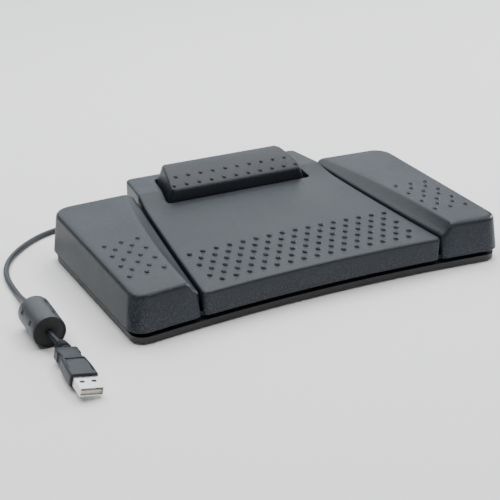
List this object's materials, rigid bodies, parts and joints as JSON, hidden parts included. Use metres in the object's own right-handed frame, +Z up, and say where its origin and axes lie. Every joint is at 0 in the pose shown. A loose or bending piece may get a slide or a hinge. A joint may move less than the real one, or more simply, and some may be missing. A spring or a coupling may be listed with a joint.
{
  "type": "dictation foot control",
  "caption": "Low charcoal foot control with wide side pedals, a centre pedal and a raised rear bar pedal, on a lead with ferrite and plug.",
  "frame": {"origin": "centre of the foot control's footprint on the floor, half way between the front corners' foremost points and the back of the centre pedal; the free lead, its coil, ferrite and plug are not counted", "axes": "+X to the user's right along the pedals' pivots, +Y away from the user towards the rear bar, +Z up"},
  "size_m": [0.288, 0.242, 0.0441],
  "materials": {
    "pedal_plastic": "fine spark-eroded texture, satin",
    "base_plastic": "fine texture",
    "black_rubber": "matt",
    "zinc_steel": "zinc plated",
    "spring_steel": "drawn wire",
    "switch_black": "moulded",
    "plunger_red": "moulded",
    "copper_tin": "tinned",
    "board_green": "solder mask",
    "chip_black": "moulded",
    "bone_plastic": "moulded",
    "wire_red": "smooth sleeve",
    "lead_grey": "satin sheath",
    "ferrite_grey": "moulded clip-on case",
    "ferrite_black": "sintered",
    "plug_shell": "nickel plated",
    "contact_gold": "gold flash"
  },
  "bodies": {
    "base": {"base_pan": "base_plastic", "rubber_feet": "black_rubber", "ballast_plate": "zinc_steel", "ballast_screws": "zinc_steel", "bump_stops": "black_rubber", "left_pivot_pin": "zinc_steel", "right_pivot_pin": "zinc_steel", "centre_pivot_pins": "zinc_steel", "rear_pivot_pins": "zinc_steel", "left_spring": "spring_steel", "right_spring": "spring_steel", "centre_springs": "spring_steel", "rear_springs": "spring_steel", "left_switch": "switch_black", "right_switch": "switch_black", "centre_switch": "switch_black", "rear_switch": "switch_black", "switch_terminals": "copper_tin", "controller_board": "board_green", "controller_chip": "chip_black", "board_parts": "copper_tin", "crystal_can": "zinc_steel", "board_header": "bone_plastic", "board_screws": "zinc_steel", "switch_wires": "wire_red", "inner_lead": "lead_grey", "lead_clamp": "switch_black", "clamp_screws": "zinc_steel", "lead_grommet": "black_rubber", "lead_boot": "lead_grey", "lead_to_coil": "lead_grey", "lead_coil": "lead_grey", "lead_to_plug": "lead_grey", "ferrite_core": "ferrite_black", "ferrite_cover": "ferrite_grey", "plug_boot": "lead_grey", "plug_body": "lead_grey", "plug_shell": "plug_shell", "plug_tongue": "bone_plastic", "plug_contacts": "contact_gold"},
    "left_pedal": {"left_pedal": "pedal_plastic"},
    "right_pedal": {"right_pedal": "pedal_plastic"},
    "centre_pedal": {"centre_pedal": "pedal_plastic"},
    "rear_pedal": {"rear_pedal": "pedal_plastic"},
    "left_plunger": {"left_plunger": "plunger_red"},
    "right_plunger": {"right_plunger": "plunger_red"},
    "centre_plunger": {"centre_plunger": "plunger_red"},
    "rear_plunger": {"rear_plunger": "plunger_red"}
  },
  "joints": [
    {"name": "left_press", "type": "hinge", "parent": "base", "child": "left_pedal", "pos_m": [0, 0.046, 0.012], "axis": [1, 0, 0], "range_deg": [0, 0.95], "stiffness_Nm_per_rad": 20, "springref_deg": -1.72, "deforming": ["left_spring"]},
    {"name": "right_press", "type": "hinge", "parent": "base", "child": "right_pedal", "pos_m": [0, 0.046, 0.012], "axis": [1, 0, 0], "range_deg": [0, 0.95], "stiffness_Nm_per_rad": 20, "springref_deg": -1.72, "deforming": ["right_spring"]},
    {"name": "centre_press", "type": "hinge", "parent": "base", "child": "centre_pedal", "pos_m": [0, 0.066, 0.012], "axis": [1, 0, 0], "range_deg": [0, 0.9], "stiffness_Nm_per_rad": 24, "springref_deg": -1.72, "deforming": ["centre_springs"]},
    {"name": "rear_press", "type": "hinge", "parent": "base", "child": "rear_pedal", "pos_m": [0, 0.041, 0.016], "axis": [1, 0, 0], "range_deg": [-4, 0], "stiffness_Nm_per_rad": 3, "springref_deg": 5.73, "deforming": ["rear_springs"]},
    {"name": "left_click", "type": "slide", "parent": "base", "child": "left_plunger", "axis": [0, 0, -1], "range_m": [0, 0.0012]},
    {"name": "right_click", "type": "slide", "parent": "base", "child": "right_plunger", "axis": [0, 0, -1], "range_m": [0, 0.0012]},
    {"name": "centre_click", "type": "slide", "parent": "base", "child": "centre_plunger", "axis": [0, 0, -1], "range_m": [0, 0.0012]},
    {"name": "rear_click", "type": "slide", "parent": "base", "child": "rear_plunger", "axis": [0, 0, -1], "range_m": [0, 0.0012]}
  ],
  "couplings": [
    {"joint": "left_click", "follows": "left_press", "m_per_rad": 0.06},
    {"joint": "right_click", "follows": "right_press", "m_per_rad": 0.06},
    {"joint": "centre_click", "follows": "centre_press", "m_per_rad": 0.06},
    {"joint": "rear_click", "follows": "rear_press", "m_per_rad": -0.0145}
  ]
}
